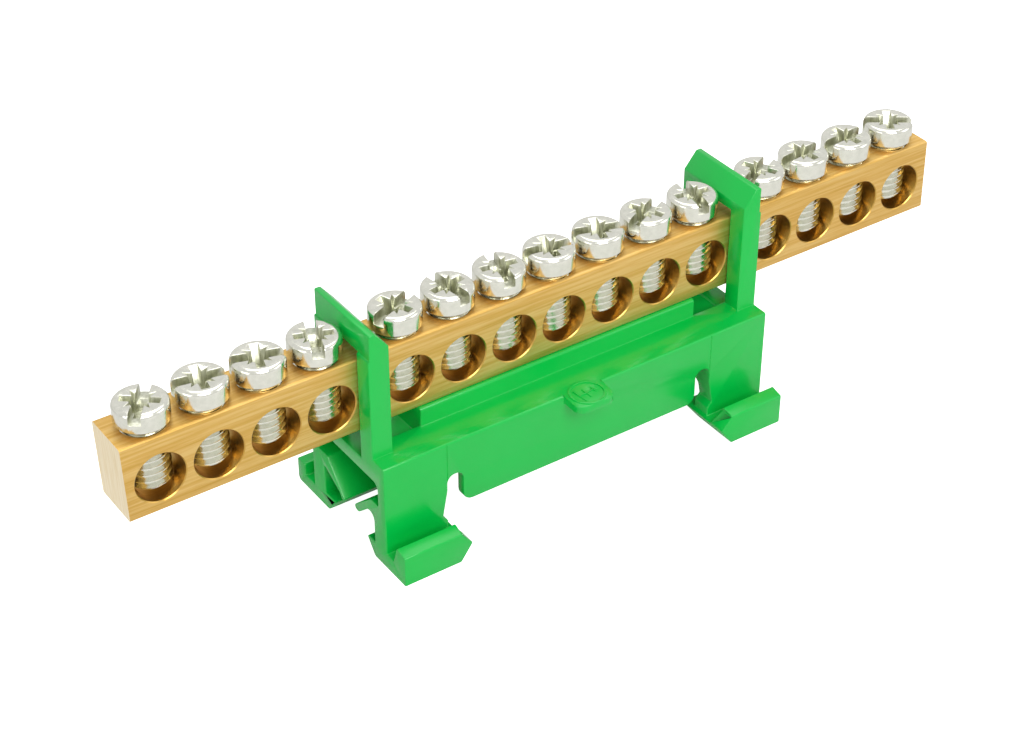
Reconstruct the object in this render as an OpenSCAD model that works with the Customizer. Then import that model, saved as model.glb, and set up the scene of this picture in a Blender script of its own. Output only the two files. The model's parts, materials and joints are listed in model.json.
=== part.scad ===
// Earth terminal bar: a brass bar with a row of wire holes and clamping screws, carried by a
// moulded holder that clips across a 35 mm top-hat rail, or along a narrow flat bar.
// X runs along the bar, -Y is the front, and Z = 0 is the underside of the holder's feet.

/* [Bar] */
// Depth of the bar, front to back
bar_depth = 6; // [5.8:0.1:7]
// Height of the bar
bar_height = 9; // [8.6:0.1:10]
// Diameter of the wire holes
wire_d = 5.6; // [5.4:0.1:5.8]
// Height of the wire holes' centres above the bar's underside
wire_height = 4; // [3.8:0.1:4.2]
// Spacing of the wire holes within a group
pitch = 6.5; // [6.4:0.1:7]
// Spacing of the two wire holes either side of an upright
group_gap = 9.6; // [9.6:0.1:11]
// Distance from the last hole's centre to the end of the bar
end_margin = 4; // [3.6:0.1:6]
// Chamfer on the bar's long edges
bar_chamfer = 0.25; // [0.1:0.05:0.5]

/* [Screws] */
// Diameter of the tapped bores
tap_d = 5; // [4.9:0.05:5.1]
// Diameter over the screws' threads
screw_d = 4.9; // [4.4:0.1:4.9]
// Diameter of the screw heads
head_d = 5.8; // [5.2:0.1:5.8]
// Height of the screw heads
head_height = 2.55; // [2.3:0.05:2.8]
// Gap between the bar and the undersides of the heads
head_gap = 0.2; // [0.15:0.05:1]
// Height of the screw tips above the bar's underside
tip_height = 2.1; // [2.1:0.1:3]
// Width of the driver slot
slot_width = 1.25; // [1:0.05:1.4]
// Depth of the driver slot
slot_depth = 1.15; // [0.9:0.05:1.3]
// Width of the wings of the cross recess
wing_width = 0.9; // [0.7:0.05:1]
// Depth of the cross recess
cross_depth = 1.9; // [1.6:0.1:2]

/* [Holder] */
// Width of the top-hat rail that the legs clip over
rail_width = 35; // [34.6:0.1:35.2]
// Play between the rail and each leg
rail_play = 0.2; // [0.1:0.05:0.4]
// Reach of the ridges that hold the rail
ridge_reach = 0.7; // [0.4:0.1:1]
// Shift of the holder along the bar, away from the bar's middle
holder_shift = -0.5; // [-0.55:0.05:0.55]
// Thickness of the uprights
upright_t = 2.5; // [2.3:0.1:2.5]
// Depth of the holder's deck, front to back
deck_depth = 15; // [14.8:0.1:16]
// Height of the deck's top above the feet
deck_height = 13.2; // [13.2:0.1:15]
// Thickness of the deck
deck_t = 2.8; // [2.5:0.1:3.2]
// Height of the rib that the bar lies on
rib_height = 2.3; // [2:0.1:3]
// Height of the lintel above the top of the bar
lintel_height = 3.15; // [2.6:0.05:4]
// Thickness of the skirts between the legs
skirt_t = 1.15; // [1:0.05:1.3]
// Width of the boss that carries the earth sign
boss_width = 5; // [4:0.1:6]

/* [Hidden] */
$fn = 64;
lap = 0.5;               // overlap of shapes that are fused together
arc_step = 15;           // largest turn between two points of a rounded corner
bar_z = deck_height + rib_height;

mid_holes = [-3:3];      // middle group, counted from the bar's middle
end_holes = [0:3];       // each end group, counted from its upright
mid_reach = 3 * pitch;
end_start = mid_reach + group_gap;
bar_half = end_start + 3 * pitch + end_margin;
hole_x = [
    for (i = [3:-1:0]) -end_start - i * pitch,
    for (i = mid_holes) i * pitch,
    for (i = end_holes) end_start + i * pitch
];

tap_floor = tip_height - 0.2;
tip_bevel = 0.5;
head_cone = 0.45;        // height and inset of the taper under the head
head_fillet = 0.5;
wing_reach = 2.25;       // half length of the cross at the top of the head
notch_reach = 1.9;       // half length of the notches between the wings
notch_width = 0.5;
socket_reach = 1;        // half length of the cross and the notches at their floor
// Turn of each screw's slot about its axis, as the screws happened to stop
slot_turn = [51, -10, -18, 69, 22, 98, 80, -10, -18, 26, 79, 27, 5, 4, -35];

holder_half = mid_reach + group_gap / 2 + upright_t / 2;
deck_half = deck_depth / 2;
deck_under = deck_height - deck_t;
leg_in = rail_width / 2 + rail_play;
ridge_in = leg_in - ridge_reach;
window_half = bar_depth / 2 + 0.05;
jamb_half = bar_depth / 2 + 2.4;
rib_half = bar_depth / 2 + 0.4;
rib_reach = 18.3;
channel_floor = deck_height - 1.35;
sill = deck_height - 1.2;
lintel_under = bar_z + bar_height + 1;
lintel_top = bar_z + bar_height + 1 + lintel_height;
lintel_step = 0.2;       // the lintel's outer face lies this far inside the jambs' faces
lintel_flat = 0.7;       // width of the flat on top of the lintel
lintel_slope = 1.95;     // height of the slope beside the flat
slot_w = 2;              // width of the gap between a skirt and a leg
slot_top = 8.85;
skirt_under = 4.65;
foot_t = 1.9;
finger_top = 7.5;        // height of the shoulders of the spring fingers
boss_t = 0.95;
boss_front = 10.5;
boss_shift = -0.2;

green = "#2ebd5c";
brass = "#dcb766";
zinc = "#d5d6d2";

// --- outlines -------------------------------------------------------------------------

function xy(p) = [p[0], p[1]];
function unit(v) = v / norm(v);
function turn(a, b) = (b - a + 540) % 360 - 180;

// Points of one corner b between neighbours a and c, rounded to the radius in b[2]
function corner(a, b, c) =
    is_undef(b[2]) ? [xy(b)] :
    let (
        to_a = unit(xy(a) - xy(b)),
        to_c = unit(xy(c) - xy(b)),
        half = acos(to_a * to_c) / 2,
        centre = xy(b) + unit(to_a + to_c) * b[2] / sin(half),
        first = xy(b) + to_a * b[2] / tan(half) - centre,
        last = xy(b) + to_c * b[2] / tan(half) - centre,
        from = atan2(first[1], first[0]),
        sweep = turn(from, atan2(last[1], last[0])),
        steps = ceil(abs(sweep) / arc_step)
    )
    [for (i = [0:steps]) centre + b[2] * [cos(from + sweep * i / steps), sin(from + sweep * i / steps)]];

// Closed outline with its corners rounded: each point is [x, y] or [x, y, radius]
function rounded(p) =
    let (n = len(p))
    [for (i = [0:n - 1]) each corner(p[(i + n - 1) % n], p[i], p[(i + 1) % n])];

// Outline completed with its own mirror image across x = 0
function both_sides(p) =
    concat(p, [for (i = [len(p) - 1:-1:0]) [-p[i][0], for (k = [1:len(p[i]) - 1]) p[i][k]]]);

// Stands a drawing in the Y-Z plane and runs it along X
module along_x(from, to) {
    translate([from, 0, 0]) rotate([90, 0, 90]) linear_extrude(to - from) children();
}

// Stands a drawing in the X-Z plane and runs it through the depth, on both sides of Y = 0
module along_y(half) {
    translate([0, half, 0]) rotate([90, 0, 0]) linear_extrude(2 * half) children();
}

// --- bar --------------------------------------------------------------------------------

module bar_section() {
    c = bar_chamfer;
    half = bar_depth / 2;
    polygon(both_sides([
        [half - c, bar_height], [half, bar_height - c], [half, c], [half - c, 0]
    ]));
}

module bar() {
    color(brass)
    translate([0, 0, bar_z])
    difference() {
        along_x(-bar_half, bar_half) bar_section();
        for (x = hole_x) {
            translate([x, bar_depth / 2 + lap, wire_height])
                rotate([90, 0, 0]) cylinder(d = wire_d, h = bar_depth + 2 * lap);
            translate([x, 0, tap_floor]) cylinder(d = tap_d, h = bar_height);
        }
    }
}

// --- screws -----------------------------------------------------------------------------

// Half section of a screw, from its tip to the top of its head
module screw_section() {
    tip = tip_height;
    under = bar_height + head_gap;
    top = under + head_height;
    r = screw_d / 2;
    head_r = head_d / 2;
    polygon(rounded([
        [0, tip], [r - tip_bevel, tip], [r, tip + tip_bevel], [r, under],
        [head_r - head_cone + 0.1, under], [head_r, under + head_cone],
        [head_r, top, head_fillet], [0, top]
    ]));
}

// Wing of the cross recess on both sides of the axis, sloping down to the socket's floor
module recess_wing(width, reach) {
    along_y(width / 2)
        polygon(both_sides([
            [reach, slot_depth + lap], [reach, slot_depth - 0.3], [socket_reach, slot_depth - cross_depth]
        ]));
}

// Plain slot through the rim, over a cross with a narrower notch between each two wings
module driver_recess() {
    linear_extrude(slot_depth + lap) square([head_d + 2 * lap, slot_width], center = true);
    for (a = [0, 90]) rotate(a) recess_wing(wing_width, wing_reach);
    for (a = [45, 135]) rotate(a) recess_wing(notch_width, notch_reach);
}

module screw(i) {
    color(zinc)
    translate([hole_x[i], 0, bar_z])
    rotate(slot_turn[i])
    difference() {
        rotate_extrude() screw_section();
        translate([0, 0, bar_height + head_gap + head_height - slot_depth]) driver_recess();
    }
}

// --- holder -----------------------------------------------------------------------------

// The holder seen from the front: legs with their rail ridges, slots, and the skirt between
module front_outline() {
    polygon(rounded(both_sides([
        [holder_half, deck_height - lap], [holder_half, 0], [leg_in + 0.8, 0],
        [ridge_in, 2.1], [leg_in + 0.6, 3.7], [leg_in, 7],
        [leg_in, slot_top, 0.95], [leg_in - slot_w, slot_top, 0.95],
        [leg_in - slot_w, skirt_under, 1.2]
    ])));
}

// Front leg seen from the end: a spring finger points down and inwards under the deck
module front_leg_outline() {
    polygon(rounded([
        [deck_half, deck_under + lap], [deck_half, 1], [5.15, 1], [5.15, 6.85, 0.9],
        [1.9, 3.95, 0.45], [0.7, 4.2, 0.4], [4.55, finger_top, 0.3], [6.1, finger_top, 0.2],
        [6.1, deck_under, 0.9], [4.9, deck_under], [4.9, deck_under + lap]
    ]));
}

// Front foot seen from the end: a barb inside, a notch and a turned-up lip outside
module front_foot_outline() {
    polygon(rounded([
        [3.65, foot_t + 0.1], [3.65, foot_t - 0.1], [5.05, 0, 0.5], [11.2, 0, 0.2],
        [11.2, 3.8, 0.2], [9.6, 4.2, 0.2], [8.85, foot_t, 0.15]
    ]));
}

// Back leg seen from the end: its spring arm is a thicker wedge
module back_leg_outline() {
    polygon(rounded([
        [deck_half, deck_under + lap], [deck_half, 1], [5.1, 1], [5.1, 5.85, 0.2],
        [2, 4.05], [1.55, 3.4, 0.2], [0.85, 3.4, 0.2], [4.4, finger_top, 0.3], [6.3, finger_top, 0.2],
        [6.3, deck_under, 0.9], [5.1, deck_under], [5.1, deck_under + lap]
    ]));
}

module back_foot_outline() {
    polygon(rounded([
        [3.1, foot_t], [3.1, foot_t - 0.1], [4.5, 0, 0.4], [11.2, 0, 0.6],
        [11.2, 3.05, 0.3], [9.55, 3.05, 0.2], [9.5, foot_t - 0.4, 0.2],
        [deck_half - 0.1, foot_t - 0.4], [deck_half - 0.5, foot_t]
    ]));
}

module skirt_outline() {
    translate([deck_half - skirt_t, skirt_under - lap]) square([skirt_t, deck_under + 2 * lap - skirt_under]);
}

// Legs, feet and skirt of one side; the first child is the leg and the second the foot
module clip_side() {
    intersection() {
        along_y(2 * deck_depth) front_outline();
        union() {
            for (side = [0, 1]) mirror([side, 0, 0]) {
                along_x(leg_in, holder_half) children(0);
                along_x(ridge_in, holder_half) children(1);
            }
            along_x(-leg_in - lap, leg_in + lap) skirt_outline();
        }
    }
}

module front_clips() {
    mirror([0, 1, 0]) clip_side() {
        front_leg_outline();
        front_foot_outline();
    }
}

module back_clips() {
    clip_side() {
        back_leg_outline();
        back_foot_outline();
    }
}

module deck() {
    along_x(-holder_half, holder_half)
        polygon(rounded(both_sides([[deck_half, deck_height, 0.25], [deck_half, deck_under]])));
    along_x(-rib_reach, rib_reach)
        polygon(rounded(both_sides([[rib_half, bar_z, 0.3], [rib_half, deck_height - lap]])));
}

// Channel at each end of the rib, under the bar, a little deeper inside the upright than in it
module end_channels() {
    for (side = [0, 1]) mirror([side, 0, 0]) {
        along_x(rib_reach, holder_half - upright_t)
            translate([-window_half, channel_floor]) square([2 * window_half, deck_t]);
        along_x(holder_half - upright_t - lap, holder_half + lap)
            translate([-window_half, sill]) square([2 * window_half, deck_t]);
    }
}

// Upright seen from the front: flush outer face with the lintel set back, sloped inner top
module upright_side_outline() {
    inner = holder_half - upright_t;
    polygon([
        [inner, channel_floor], [holder_half, channel_floor], [holder_half, lintel_under],
        [holder_half - lintel_step, lintel_under], [holder_half - lintel_step, lintel_top],
        [holder_half - lintel_step - lintel_flat, lintel_top], [inner, lintel_top - lintel_slope]
    ]);
}

// Upright seen from the end: two jambs and a lintel round the window for the bar
module upright_end_outline() {
    difference() {
        polygon(both_sides([[jamb_half, lintel_top], [jamb_half, channel_floor]]));
        translate([-window_half, sill]) square([2 * window_half, lintel_under - sill]);
    }
}

module uprights() {
    for (side = [0, 1]) mirror([side, 0, 0])
        intersection() {
            along_y(deck_depth) upright_side_outline();
            along_x(0, 2 * holder_half) upright_end_outline();
        }
}

// Round-cornered boss at the middle of the deck's front edge
module boss() {
    translate([boss_shift, 0, deck_height - boss_t])
    linear_extrude(boss_t)
        polygon(rounded(both_sides([[boss_width / 2, -deck_half + 1], [boss_width / 2, -boss_front, 1.2]])));
}

module holder() {
    color(green)
    translate([holder_shift, 0, 0])
    union() {
        difference() {
            deck();
            end_channels();
        }
        uprights();
        front_clips();
        back_clips();
        boss();
    }
}

holder();
bar();
screw(0);  // screw_01
screw(1);  // screw_02
screw(2);  // screw_03
screw(3);  // screw_04
screw(4);  // screw_05
screw(5);  // screw_06
screw(6);  // screw_07
screw(7);  // screw_08
screw(8);  // screw_09
screw(9);  // screw_10
screw(10);  // screw_11
screw(11);  // screw_12
screw(12);  // screw_13
screw(13);  // screw_14
screw(14);  // screw_15
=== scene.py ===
import json
import math

import bpy
import bmesh
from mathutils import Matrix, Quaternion, Vector

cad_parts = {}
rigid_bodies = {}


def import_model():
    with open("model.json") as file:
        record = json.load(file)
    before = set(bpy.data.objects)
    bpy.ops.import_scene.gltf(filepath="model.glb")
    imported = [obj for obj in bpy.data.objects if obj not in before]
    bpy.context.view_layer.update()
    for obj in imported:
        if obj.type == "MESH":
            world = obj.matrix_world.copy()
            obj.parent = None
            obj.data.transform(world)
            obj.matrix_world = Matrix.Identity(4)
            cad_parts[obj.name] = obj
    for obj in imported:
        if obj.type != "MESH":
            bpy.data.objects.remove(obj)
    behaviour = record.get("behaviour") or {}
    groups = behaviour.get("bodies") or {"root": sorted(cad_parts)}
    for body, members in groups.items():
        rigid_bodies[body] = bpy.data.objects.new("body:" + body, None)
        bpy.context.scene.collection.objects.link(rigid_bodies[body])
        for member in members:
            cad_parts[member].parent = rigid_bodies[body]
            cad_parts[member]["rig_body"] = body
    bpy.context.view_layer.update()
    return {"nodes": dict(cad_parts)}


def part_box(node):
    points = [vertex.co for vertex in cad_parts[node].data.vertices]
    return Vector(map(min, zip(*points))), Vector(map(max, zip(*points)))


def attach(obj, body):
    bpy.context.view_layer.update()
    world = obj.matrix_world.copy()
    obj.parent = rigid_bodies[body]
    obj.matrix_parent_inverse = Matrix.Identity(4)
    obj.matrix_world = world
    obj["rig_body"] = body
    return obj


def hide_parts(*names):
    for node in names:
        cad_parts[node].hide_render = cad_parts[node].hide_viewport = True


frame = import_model()
nodes = frame["nodes"]
mm = 0.001
near = 0.01 * mm      # a vertex this near a plane counts as on it
doubles = 0.002 * mm  # vertices this near each other are merged
print("frame loaded,", len(nodes), "nodes")


def deselectAll():
    bpy.ops.object.select_all(action="DESELECT")
    bpy.context.view_layer.objects.active = None


def pick(piece):  # makes one object the only selected and the active one
    deselectAll()
    piece.select_set(True)
    bpy.context.view_layer.objects.active = piece


def named(name, material=None):  # names the object just added
    piece = bpy.context.object
    piece.name = name
    piece.data.name = name
    if material:
        piece.data.materials.append(material)
    return piece


# Opens edit mode with only the faces, edges or verts that pass the test selected
def editSelect(piece, part, test):
    pick(piece)
    bpy.ops.object.mode_set(mode="EDIT")
    bpy.ops.mesh.select_mode(type={"verts": "VERT", "edges": "EDGE", "faces": "FACE"}[part])
    bpy.ops.mesh.select_all(action="DESELECT")
    mesh = bmesh.from_edit_mesh(piece.data)
    for item in [item for item in getattr(mesh, part) if test(item)]:
        item.select_set(True)
    mesh.select_flush_mode()
    bmesh.update_edit_mesh(piece.data)


def everything(item):
    return True


def leaveEdit():
    bpy.ops.object.mode_set(mode="OBJECT")


def bevelEdges(piece, test, **settings):
    editSelect(piece, "edges", test)
    bpy.ops.mesh.bevel(**settings)
    leaveEdit()


def resizeVerts(piece, test, value):
    editSelect(piece, "verts", test)
    bpy.ops.transform.resize(value=value)
    leaveEdit()


def atHeight(height):  # test for the edges that lie at one height
    return lambda edge: all(abs(vert.co.z - height) < near for vert in edge.verts)


def applyPlace(piece):  # leaves the object at the origin, its place in its mesh
    pick(piece)
    bpy.ops.object.transform_apply(location=True, rotation=True, scale=True)


def finishWith(piece, kind, **settings):  # adds a modifier and applies it
    pick(piece)
    modifier = piece.modifiers.new(kind.lower(), kind)
    for key, value in settings.items():
        setattr(modifier, key, value)
    bpy.ops.object.modifier_apply(modifier=modifier.name)


def cutWith(piece, cutter, operation="DIFFERENCE", **settings):
    finishWith(piece, "BOOLEAN", operation=operation, object=cutter, solver="EXACT", **settings)
    bpy.data.objects.remove(cutter)


def copyOf(piece, name, move=(0, 0, 0), turn=0):  # a copy with its own mesh, turned about Z and moved
    pick(piece)
    bpy.ops.object.duplicate(linked=False)
    copy = named(name)
    copy.rotation_euler = (0, 0, turn)
    copy.location = move
    applyPlace(copy)
    return copy


def joinAll(pieces, name):
    pick(pieces[0])
    for piece in pieces:
        piece.select_set(True)
    bpy.ops.object.join()
    return named(name)


def smooth(piece, degrees):
    pick(piece)
    bpy.ops.object.shade_smooth_by_angle(angle=math.radians(degrees))


def tidyMesh(piece):  # merges doubles and turns all faces outwards
    editSelect(piece, "verts", everything)
    bpy.ops.mesh.remove_doubles(threshold=doubles)
    bpy.ops.mesh.normals_make_consistent(inside=False)
    leaveEdit()


def middleOf(edge):
    return sum((vert.co for vert in edge.verts), Vector()) / len(edge.verts)


def linear(hexColour):
    channels = [int(hexColour[i:i + 2], 16) / 255 for i in (1, 3, 5)]
    return [c / 12.92 if c <= 0.04045 else ((c + 0.055) / 1.055) ** 2.4 for c in channels] + [1]


# Adds a node with its settings and its inputs' values or links
def add(tree, kind, settings=None, links=None):
    node = tree.nodes.new("ShaderNode" + kind)
    for key, value in (settings or {}).items():
        setattr(node, key, value)
    for key, value in (links or {}).items():
        if isinstance(value, bpy.types.NodeSocket):
            tree.links.new(value, node.inputs[key])
        else:
            node.inputs[key].default_value = value
    return node


def newMaterial(name):
    material = bpy.data.materials.new(name)
    material.use_nodes = True
    material.node_tree.nodes.clear()
    return material, material.node_tree


def colourRamp(tree, factor, stops):  # stops are (position, hex colour)
    ramp = add(tree, "ValToRGB", links={"Fac": factor})
    while len(ramp.color_ramp.elements) < len(stops):
        ramp.color_ramp.elements.new(0.5)
    for element, (position, colour) in zip(ramp.color_ramp.elements, stops):
        element.position = position
        element.color = linear(colour)
    return ramp.outputs["Color"]


def surface(tree, **inputs):
    links = {key.replace("_", " "): value for key, value in inputs.items()}
    shader = add(tree, "BsdfPrincipled", links=links)
    add(tree, "OutputMaterial", links={"Surface": shader.outputs["BSDF"]})


def mouldedPolyamide():  # green PA66 from an eroded mould: satin, faintly mottled
    material, tree = newMaterial("mouldedPolyamide")
    place = add(tree, "TexCoord").outputs["Object"]
    mottle = add(tree, "TexNoise", links={"Vector": place, "Scale": 160, "Detail": 3})
    grain = add(tree, "TexNoise", links={"Vector": place, "Scale": 5200, "Detail": 2})
    colour = colourRamp(tree, mottle.outputs["Fac"], [(0.3, "#02bf48"), (0.7, "#04c34b")])
    bump = add(tree, "Bump", links={"Height": grain.outputs["Fac"], "Strength": 0.12,
                                    "Distance": 0.04 * mm})
    surface(tree, Base_Color=colour, Roughness=0.22, IOR=1.53, Specular_IOR_Level=0.45,
            Normal=bump.outputs["Normal"])
    return material


def drawnBrass():  # brass drawn through a die: satin, with fine lines along the bar
    material, tree = newMaterial("drawnBrass")
    place = add(tree, "TexCoord").outputs["Object"]
    stretched = add(tree, "Mapping", links={"Vector": place, "Scale": (0.03, 1, 1)})
    along = stretched.outputs["Vector"]
    lines = add(tree, "TexNoise", links={"Vector": along, "Scale": 8000, "Detail": 4,
                                         "Roughness": 0.65})
    broad = add(tree, "TexNoise", links={"Vector": along, "Scale": 2600, "Detail": 3})
    both = add(tree, "Math", {"operation": "MULTIPLY_ADD"},
               {0: lines.outputs["Fac"], 1: 0.6, 2: broad.outputs["Fac"]})
    colour = colourRamp(tree, both.outputs[0],
                        [(0.55, "#cfa452"), (0.75, "#dbb263"), (0.95, "#e5c27c")])
    rough = add(tree, "MapRange", links={"Value": lines.outputs["Fac"],
                                         "To Min": 0.4, "To Max": 0.56})
    bump = add(tree, "Bump", links={"Height": lines.outputs["Fac"], "Strength": 0.5,
                                    "Distance": 0.03 * mm})
    surface(tree, Base_Color=colour, Metallic=1.0, Roughness=rough.outputs["Result"],
            Normal=bump.outputs["Normal"])
    return material


def sawnBrassPaintedReflection():  # the bar's cut ends: duller, with the saw's straight marks, and painted paler as a painted reflection of the floor
    material, tree = newMaterial("sawnBrassPaintedReflection")
    place = add(tree, "TexCoord").outputs["Object"]
    stretched = add(tree, "Mapping", links={"Vector": place, "Rotation": (0.35, 0, 0),
                                            "Scale": (1, 1, 0.05)})
    lines = add(tree, "TexNoise", links={"Vector": stretched.outputs["Vector"],
                                         "Scale": 5000, "Detail": 3})
    # painted reflection: the near-white colours stand in for the floor mirrored in the end faces
    colour = colourRamp(tree, lines.outputs["Fac"], [(0.3, "#ead8b0"), (0.7, "#f6ead0")])
    bump = add(tree, "Bump", links={"Height": lines.outputs["Fac"], "Strength": 0.4,
                                    "Distance": 0.04 * mm})
    surface(tree, Base_Color=colour, Metallic=1.0, Roughness=0.5, Normal=bump.outputs["Normal"])
    return material


def holeWallBrassPaintedShade():  # walls of the holes: brass darkened as painted shade inside the holes, with faint rings from the drill
    material, tree = newMaterial("holeWallBrassPaintedShade")
    place = add(tree, "TexCoord").outputs["Object"]
    stretched = add(tree, "Mapping", links={"Vector": place, "Scale": (0.15, 1, 0.15)})
    rings = add(tree, "TexNoise", links={"Vector": stretched.outputs["Vector"],
                                         "Scale": 6000, "Detail": 2})
    # painted shade: the darker brass stands in for the shade that falls inside the holes
    colour = colourRamp(tree, rings.outputs["Fac"], [(0.3, "#c49a4a"), (0.7, "#d0a95c")])
    bump = add(tree, "Bump", links={"Height": rings.outputs["Fac"], "Strength": 0.3,
                                    "Distance": 0.03 * mm})
    surface(tree, Base_Color=colour, Metallic=1.0, Roughness=0.3, Normal=bump.outputs["Normal"])
    return material


# Bright electroplated zinc: mirror-like with a slight orange peel and dull flecks
def zincPlatedSteel():
    material, tree = newMaterial("zincPlatedSteel")
    place = add(tree, "TexCoord").outputs["Object"]
    peel = add(tree, "TexNoise", links={"Vector": place, "Scale": 1500, "Detail": 3})
    flecks = add(tree, "TexNoise", links={"Vector": place, "Scale": 4500, "Detail": 2})
    colour = colourRamp(tree, peel.outputs["Fac"], [(0.3, "#dcdcd0"), (0.7, "#e8e7dc")])
    rough = add(tree, "MapRange", links={"Value": flecks.outputs["Fac"], "From Min": 0.35,
                                         "From Max": 0.7, "To Min": 0.1, "To Max": 0.26})
    bump = add(tree, "Bump", links={"Height": peel.outputs["Fac"], "Strength": 0.25,
                                    "Distance": 0.03 * mm})
    surface(tree, Base_Color=colour, Metallic=1.0, Roughness=rough.outputs["Result"],
            Normal=bump.outputs["Normal"])
    return material


# Zinc in the driver recess: duller, fluted by the punch, and greyed to olive as painted shade and a
# painted reflection of the brass
def recessZincPaintedShade():
    material, tree = newMaterial("recessZincPaintedShade")
    place = add(tree, "TexCoord").outputs["Object"]
    stretched = add(tree, "Mapping", links={"Vector": place, "Scale": (1, 1, 0.08)})
    flutes = add(tree, "TexNoise", links={"Vector": stretched.outputs["Vector"],
                                          "Scale": 3500, "Detail": 2})
    # painted shade and painted reflection: the grey-olive colours stand in for the shade in the
    # recess and the brass seen in it
    colour = colourRamp(tree, flutes.outputs["Fac"], [(0.35, "#bdbeaa"), (0.65, "#d9dac9")])
    bump = add(tree, "Bump", links={"Height": flutes.outputs["Fac"], "Strength": 0.4,
                                    "Distance": 0.05 * mm})
    surface(tree, Base_Color=colour, Metallic=1.0, Roughness=0.3, Normal=bump.outputs["Normal"])
    return material


polyamide = mouldedPolyamide()
drawn = drawnBrass()
sawnPaintedReflection = sawnBrassPaintedReflection()
holeWallPaintedShade = holeWallBrassPaintedShade()
zinc = zincPlatedSteel()
recessPaintedShadeZinc = recessZincPaintedShade()
print("materials ready")


barShape = {
    "edgeRound": 0.25 * mm,   # radius along the drawn bar's long edges
    "sawSlant": 1.5,          # degrees that the saw leaned at both ends
    "wireHole": 5.6 * mm,     # diameter
    "wireHeight": 4.0 * mm,   # hole centres above the underside
    "tapBore": 5.0 * mm,      # diameter
    "boreFloor": 1.9 * mm,    # above the underside
    "deburr": 0.1 * mm,       # countersink left by the deburring tool
    "drillLap": 0.3 * mm,     # how far a drill stands out of the bar
    "holeSides": 96,
}

screwNames = sorted(name for name in nodes if name.startswith("screw_"))


def screwAxis(name):  # X of a screw's axis
    low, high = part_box(name)
    return (low[0] + high[0]) / 2


# Drill along Z with a short cone at each place in flareAt
def holeCutter(radius, length, flareAt, deburr, sides):
    bpy.ops.mesh.primitive_cylinder_add(vertices=sides, radius=radius, depth=length)
    cutter = named("drill")
    for place in flareAt:
        outward = 1 if place > 0 else -1
        editSelect(cutter, "faces", everything)
        bpy.ops.mesh.bisect(plane_co=(0, 0, place - outward * deburr), plane_no=(0, 0, 1))
        leaveEdit()
        reach = length / 2 - abs(place) + deburr
        grow = (radius + reach) / radius
        resizeVerts(cutter, lambda vert: vert.co.z * outward > length / 2 - near, (grow, grow, 1))
    return cutter


def makeBar(shape):
    low, high = (Vector(corner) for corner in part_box("bar"))
    size = high - low
    bpy.ops.mesh.primitive_cube_add(size=1, location=(low + high) / 2, scale=size)
    bar = named("brassBar", drawn)
    bar.data.materials.append(sawnPaintedReflection)
    bar.data.materials.append(holeWallPaintedShade)
    applyPlace(bar)
    bevelEdges(bar, lambda edge: abs(edge.verts[0].co.x - edge.verts[1].co.x) > size.x / 2,
               offset=shape["edgeRound"], segments=3, profile=0.5)

    slant = math.radians(shape["sawSlant"])
    back = math.tan(slant) * size.z / 2
    for side, place in ((1, high.x - back), (-1, low.x + back)):
        editSelect(bar, "faces", everything)
        bpy.ops.mesh.bisect(plane_co=(place, 0, (low.z + high.z) / 2),
                            plane_no=(side * math.cos(slant), 0, side * math.sin(slant)),
                            use_fill=True, clear_outer=True)
        leaveEdit()
    # the end faces take the saw-cut brass, whose paleness is a painted reflection of the floor
    editSelect(bar, "faces", lambda face: abs(face.normal.x) > 0.9)
    bar.active_material_index = 1
    bpy.ops.object.material_slot_assign()
    leaveEdit()

    lap = shape["drillLap"]
    wireDrill = holeCutter(shape["wireHole"] / 2, size.y + 2 * lap, (size.y / 2, -size.y / 2),
                           shape["deburr"], shape["holeSides"])
    wireDrill.rotation_euler = (math.pi / 2, 0, 0)
    applyPlace(wireDrill)
    depth = size.z - shape["boreFloor"]
    tapDrill = holeCutter(shape["tapBore"] / 2, depth + 2 * lap, (), shape["deburr"],
                          shape["holeSides"])
    # all wire holes first and then all bores, since the two kinds of drill overlap
    for drill, height in ((wireDrill, low.z + shape["wireHeight"]),
                          (tapDrill, high.z + lap - depth / 2)):
        drills = [copyOf(drill, "drill", (screwAxis(name), 0, height)) for name in screwNames]
        row = joinAll(drills, "drillRow")
        row.data.materials.append(holeWallPaintedShade)
        cutWith(bar, row, material_mode="TRANSFER")
        bpy.data.objects.remove(drill)
    tidyMesh(bar)
    smooth(bar, 30)
    return bar


bar = makeBar(barShape)
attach(bar, "terminal_bar")
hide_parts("bar")
print("bar made,", len(bar.data.polygons), "faces")


screwShape = {
    "thread": 4.9 * mm,       # over the thread
    "threadPitch": 0.8 * mm,
    "core": 4.0 * mm,
    "ribFoot": 0.92,          # width of the thread's root, of the pitch
    "ribCrest": 0.16,         # width of its crest, of the root
    "ribSink": 0.1 * mm,      # how deep the root stands in the core
    "tipBevel": 0.5 * mm,
    "shankLap": 0.2 * mm,     # how far the shank reaches into the head
    "head": 5.8 * mm,
    "headGap": 0.2 * mm,      # between the bar and the underside of the head
    "headFillet": 0.5 * mm,
    "headCone": 0.45 * mm,
    "slotWidth": 1.25 * mm,
    "slotDepth": 1.15 * mm,
    "wingWidth": 0.9 * mm,
    "wingReach": 2.3 * mm,    # half length of the cross at the top, and at its foot
    "wingFoot": 1.2 * mm,
    "wingTaper": 0.85,        # width at the foot, of the width at the top
    "crossDepth": 1.95 * mm,
    "tickReach": 2.0 * mm,    # the pointed notches between the wings
    "tickFoot": 0.9 * mm,
    "tickWidth": 1.5 * mm,
    "tickDepth": 1.7 * mm,
    "socket": 2.3 * mm,
    "socketFoot": 1.5 * mm,
    "socketDepth": 2.0 * mm,
    "punchClear": 0.5 * mm,   # how far the recess cutter stands out of the head
    "edgeRound": 0.08 * mm,
    "sides": 96,
    "threadSides": 48,
    "socketSides": 24,
}
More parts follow.
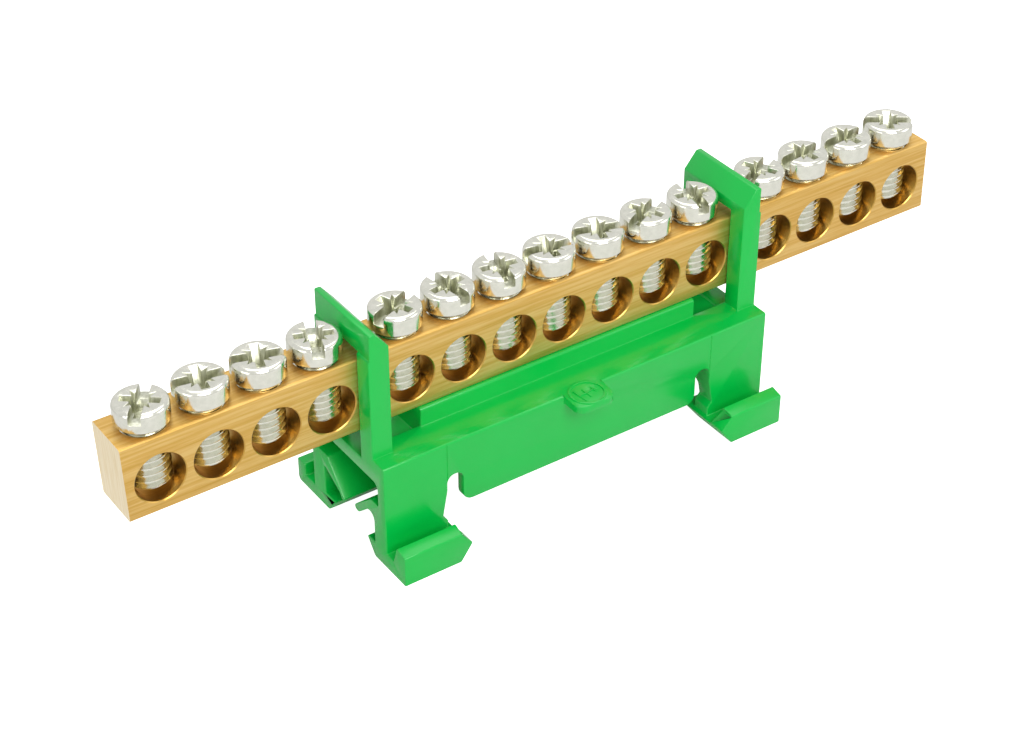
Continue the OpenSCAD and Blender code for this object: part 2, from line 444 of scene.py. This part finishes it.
slotTurns = {  # degrees from the bar's length, where each screw happened to stop
    "screw_01": 51, "screw_02": -10, "screw_03": -18, "screw_04": 69, "screw_05": 22,
    "screw_06": 98, "screw_07": 80, "screw_08": -10, "screw_09": -18, "screw_10": 26,
    "screw_11": 79, "screw_12": 27, "screw_13": 5, "screw_14": 4, "screw_15": -35,
}


def makeThread(shape, tip, under):  # core, helical rib and a bevelled tip
    core, crest, step = shape["core"] / 2, shape["thread"] / 2, shape["threadPitch"]
    sink, lap = shape["ribSink"], shape["shankLap"]
    turns = math.ceil((under - tip) / step) + 2
    bpy.ops.mesh.primitive_plane_add(size=1, rotation=(math.pi / 2, 0, 0),
                                     location=((core + crest) / 2 - sink, 0, tip - step))
    rib = named("threadRib")
    rib.scale = (crest - core + 2 * sink, step * shape["ribFoot"], 1)
    applyPlace(rib)
    resizeVerts(rib, lambda vert: vert.co.x > core, (1, 1, shape["ribCrest"]))
    editSelect(rib, "faces", everything)
    bpy.ops.mesh.delete(type="ONLY_FACE")
    leaveEdit()
    finishWith(rib, "SCREW", axis="Z", steps=shape["threadSides"],
               render_steps=shape["threadSides"], screw_offset=step, iterations=turns,
               use_merge_vertices=False)
    editSelect(rib, "edges", lambda edge: edge.is_boundary)
    bpy.ops.mesh.edge_face_add()
    bpy.ops.mesh.select_all(action="SELECT")
    bpy.ops.mesh.normals_make_consistent(inside=False)
    leaveEdit()

    bpy.ops.mesh.primitive_cylinder_add(vertices=shape["threadSides"], radius=core,
                                        depth=under - tip + 2 * step,
                                        location=(0, 0, (under + tip) / 2))
    shank = named("threadCore")
    applyPlace(shank)
    cutWith(shank, rib, "UNION")
    bpy.ops.mesh.primitive_cylinder_add(vertices=shape["sides"], radius=crest,
                                        depth=under + lap - tip,
                                        location=(0, 0, (under + lap + tip) / 2))
    envelope = named("threadEnvelope")
    applyPlace(envelope)
    bevelEdges(envelope, atHeight(tip), offset=shape["tipBevel"], segments=1)
    cutWith(shank, envelope, "INTERSECT")
    return shank


# Slot, cross, socket and the ticks between the wings, as one cutter
def makeRecess(shape, top):
    clear = shape["punchClear"]
    bpy.ops.mesh.primitive_cube_add(
        size=1, location=(0, 0, top + (clear - shape["slotDepth"]) / 2),
        scale=(shape["head"] * 1.2, shape["slotWidth"], shape["slotDepth"] + clear))
    recess = named("recessCutter", recessPaintedShadeZinc)
    applyPlace(recess)
    wings = (  # half length at the top and at the foot, width, depth, turns, outline's sides
        (shape["wingReach"], shape["wingFoot"], shape["wingWidth"], shape["crossDepth"],
         (0, 90), "square"),
        (shape["tickReach"], shape["tickFoot"], shape["tickWidth"], shape["tickDepth"],
         (45, 135), 4),
        (shape["socket"] / 2, shape["socketFoot"] / 2, shape["socket"], shape["socketDepth"],
         (0,), shape["socketSides"]))
    for reach, foot, width, depth, turns, sides in wings:
        for turn in turns:
            place = (0, 0, top + (clear - depth) / 2)
            if sides == "square":
                bpy.ops.mesh.primitive_cube_add(size=2, location=place)
            else:
                bpy.ops.mesh.primitive_cylinder_add(vertices=sides, radius=1, depth=2,
                                                    location=place)
            wing = named("wingCutter", recessPaintedShadeZinc)
            wing.scale = (reach, width / 2, (depth + clear) / 2)
            applyPlace(wing)
            narrow = foot / reach
            across = shape["wingTaper"] if sides == "square" else narrow
            resizeVerts(wing, lambda vert: vert.co.z < top - depth / 2, (narrow, across, 1))
            wing.rotation_euler = (0, 0, math.radians(turn))
            applyPlace(wing)
            cutWith(recess, wing, "UNION")
    return recess


def makeScrew(shape):  # the master stands on the Z axis at the first screw's height
    low, high = (Vector(corner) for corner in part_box(screwNames[0]))
    top, tip = high.z, low.z
    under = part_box("bar")[1][2] + shape["headGap"]
    bpy.ops.mesh.primitive_cylinder_add(vertices=shape["sides"], radius=shape["head"] / 2,
                                        depth=top - under, location=(0, 0, (top + under) / 2))
    screw = named("clampingScrew", zinc)
    applyPlace(screw)
    bevelEdges(screw, atHeight(top), offset=shape["headFillet"], segments=6, profile=0.5)
    bevelEdges(screw, atHeight(under), offset=shape["headCone"], segments=1)
    # the recess faces take the zinc painted with the recess's shade and the brass's reflection
    screw.data.materials.append(recessPaintedShadeZinc)
    cutWith(screw, makeRecess(shape, top), material_mode="TRANSFER")
    rimLow = top - shape["slotDepth"] - 0.1 * mm
    bevelEdges(screw, lambda edge: edge.is_convex and edge.calc_face_angle(0) > 0.6
               and middleOf(edge).z > rimLow,
               offset=shape["edgeRound"], segments=2, clamp_overlap=False)
    cutWith(screw, makeThread(shape, tip, under), "UNION")
    tidyMesh(screw)
    smooth(screw, 30)
    return screw


master = makeScrew(screwShape)
for name in screwNames:
    turn = math.radians(slotTurns[name])
    screw = copyOf(master, "zinc_" + name, (screwAxis(name), 0, 0), turn)
    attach(screw, nodes[name]["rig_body"])
    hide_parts(name)
print("screws made,", len(master.data.polygons), "faces each")
bpy.data.objects.remove(master)


holderShape = {
    "edgeRound": 0.12 * mm,   # the mould's radius on every edge
    "deckTop": 13.2 * mm,
    "signShift": -0.2 * mm,   # the sign's middle, from the holder's middle
    "signDepth": -8.4 * mm,
    "signTurn": 7,            # degrees
    "signRing": 1.95 * mm,    # radius to the middle of the ring's line
    "ringHalf": 0.17 * mm,    # half the ring's width
    "signHeight": 0.14 * mm,
    "signEdge": 0.04 * mm,
    "strokes": [              # x, length along x and length along y of the stem and the bars
        (-0.1 * mm, 2.2 * mm, 0.16 * mm), (-1.1 * mm, 0.16 * mm, 2.2 * mm),
        (-0.15 * mm, 0.16 * mm, 1.6 * mm), (0.85 * mm, 0.16 * mm, 0.95 * mm)],
    "skirtFace": 7.5 * mm,    # from the middle plane
    "groove": 0.12 * mm,
    "grooveReach": 17.7 * mm, # from the holder's middle
    "grooveMiddle": 10.7 * mm,
    "grooveTall": 4.9 * mm,
}


def makeHolder(shape):  # the CAD's moulding, merged and with every edge rounded
    pick(nodes["holder"])
    bpy.ops.object.duplicate(linked=False)
    holder = named("mouldedHolder")
    for key in list(holder.keys()):
        del holder[key]
    holder.parent = None
    holder.data.materials.clear()
    holder.data.materials.append(polyamide)
    editSelect(holder, "verts", everything)
    bpy.ops.mesh.remove_doubles(threshold=doubles)
    bpy.ops.mesh.dissolve_limited(angle_limit=math.radians(1))
    leaveEdit()
    finishWith(holder, "BEVEL", width=shape["edgeRound"], segments=2, limit_method="ANGLE",
               angle_limit=math.radians(35), use_clamp_overlap=False)
    tidyMesh(holder)
    smooth(holder, 30)
    return holder


def makeSign(shape, middle):  # protective earth: a ring, a stem and three bars, raised on the boss
    tall = 2 * shape["signHeight"]  # the lower half stands in the boss
    bpy.ops.mesh.primitive_cylinder_add(
        vertices=72, radius=shape["signRing"] + shape["ringHalf"], depth=tall)
    parts = [named("signRing", polyamide)]
    bpy.ops.mesh.primitive_cylinder_add(
        vertices=72, radius=shape["signRing"] - shape["ringHalf"], depth=2 * tall)
    cutWith(parts[0], named("ringHole"))
    for x, along, across in shape["strokes"]:
        bpy.ops.mesh.primitive_cube_add(size=1, location=(x, 0, 0), scale=(along, across, tall))
        parts.append(named("signStroke", polyamide))
        applyPlace(parts[-1])
    for part in parts:
        bevelEdges(part, lambda edge: all(vert.co.z > 0 for vert in edge.verts)
                   and edge.calc_face_angle(0) > 1, offset=shape["signEdge"], segments=2)
    sign = joinAll(parts, "earthSign")
    sign.rotation_euler = (0, 0, math.radians(shape["signTurn"]))
    sign.location = (middle + shape["signShift"], shape["signDepth"], shape["deckTop"])
    applyPlace(sign)
    smooth(sign, 40)
    return sign


# Hairline left where two mould inserts meet, across the front and back skirts
def makeGroove(holder, x, shape):
    for side in (-1, 1):
        place = (x, side * shape["skirtFace"], shape["grooveMiddle"])
        bpy.ops.mesh.primitive_cube_add(size=1, location=place, rotation=(0, 0, math.pi / 4))
        cutter = named("grooveCutter")
        cutter.scale = (shape["groove"], shape["groove"], shape["grooveTall"])
        applyPlace(cutter)
        cutWith(holder, cutter)


holder = makeHolder(holderShape)
holderMiddle = sum(corner[0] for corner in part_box("holder")) / 2
for side in (-1, 1):
    makeGroove(holder, holderMiddle + side * holderShape["grooveReach"], holderShape)
sign = makeSign(holderShape, holderMiddle)
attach(sign, "terminal_bar")
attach(holder, "terminal_bar")
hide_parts("holder")
print("holder made,", len(holder.data.polygons), "faces")


studio = {
    "lens": 78.6,
    "cameraPlace": (-117.75 * mm, -163.88 * mm, 155.92 * mm),
    "azimuth": -34.576,       # degrees, as are the next two
    "elevation": 35.597,
    "roll": 0.07,
    "paper": "#e6e6e6",
    "world": 0.32,            # the white surround's light on the part
    "worldMirrored": 0.85,    # its brightness in polished faces, and the floor's
    "floorMirrored": 0.15,
    "aim": (0, 0, 0.01),
    "lamps": {                # place, side of the square, watts
        "keySoftbox": ((-0.1, -0.45, 0.42), 0.35, 2.2),
        "topSoftbox": ((0.1, 0.1, 0.5), 0.4, 0.8),
        "fillSoftbox": ((0.4, -0.3, 0.25), 0.3, 0.3),
        "leftSoftbox": ((-0.5, -0.1, 0.12), 0.25, 0.35),
    },
}


def makeCamera(shape):
    camera = bpy.data.objects.new("camera", bpy.data.cameras.new("camera"))
    bpy.context.scene.collection.objects.link(camera)
    camera.data.lens = shape["lens"]
    camera.data.sensor_width = 36
    camera.data.clip_start = 0.01
    camera.location = shape["cameraPlace"]
    camera.rotation_mode = "QUATERNION"
    camera.rotation_quaternion = (
        Quaternion((0, 0, 1), math.radians(shape["azimuth"]))
        @ Quaternion((1, 0, 0), math.radians(90 - shape["elevation"]))
        @ Quaternion((0, 0, 1), math.radians(shape["roll"])))
    bpy.context.scene.camera = camera


def makeLamp(name, place, side, watts, aim):
    lamp = bpy.data.objects.new(name, bpy.data.lights.new(name, "AREA"))
    bpy.context.scene.collection.objects.link(lamp)
    lamp.data.shape = "RECTANGLE"
    lamp.data.size = lamp.data.size_y = side
    lamp.data.energy = watts
    lamp.location = place
    lamp.rotation_euler = (Vector(aim) - Vector(place)).to_track_quat("-Z", "Y").to_euler()


def makeFloor(shape):  # white to the camera, and paper to the light, so that it keeps the shadow
    bpy.ops.mesh.primitive_plane_add(size=4, location=(0, 0, -0.02 * mm))
    floor = named("studioFloor")
    material, tree = newMaterial("paperFloor")
    path = add(tree, "LightPath").outputs
    paper = add(tree, "BsdfDiffuse", links={"Color": linear(shape["paper"])})
    seen = add(tree, "Math", {"operation": "MULTIPLY_ADD"},
               {0: path["Is Glossy Ray"], 1: shape["floorMirrored"], 2: path["Is Camera Ray"]})
    seen = add(tree, "Math", {"operation": "ADD"},
               {0: seen.outputs[0], 1: path["Is Transmission Ray"]})
    glow = add(tree, "Emission", links={"Color": (1, 1, 1, 1), "Strength": seen.outputs[0]})
    both = add(tree, "AddShader", links={0: paper.outputs[0], 1: glow.outputs[0]})
    add(tree, "OutputMaterial", links={"Surface": both.outputs[0]})
    floor.data.materials.append(material)


def makeWorld(shape):
    world = bpy.data.worlds.new("softWorld")
    bpy.context.scene.world = world
    world.use_nodes = True
    tree = world.node_tree
    tree.nodes.clear()
    path = add(tree, "LightPath").outputs
    seen = add(tree, "Math", {"operation": "MULTIPLY_ADD"},
               {0: path["Is Glossy Ray"], 1: shape["worldMirrored"] - shape["world"],
                2: shape["world"]})
    for ray in ("Is Camera Ray", "Is Transmission Ray"):
        seen = add(tree, "Math", {"operation": "MAXIMUM"}, {0: seen.outputs[0], 1: path[ray]})
    white = add(tree, "Background", links={"Color": (1, 1, 1, 1), "Strength": seen.outputs[0]})
    add(tree, "OutputWorld", links={"Surface": white.outputs[0]})


makeCamera(studio)
makeFloor(studio)
makeWorld(studio)
for name, (place, side, watts) in studio["lamps"].items():
    makeLamp(name, place, side, watts, studio["aim"])
bpy.context.scene.view_settings.view_transform = "Standard"
print("studio ready")
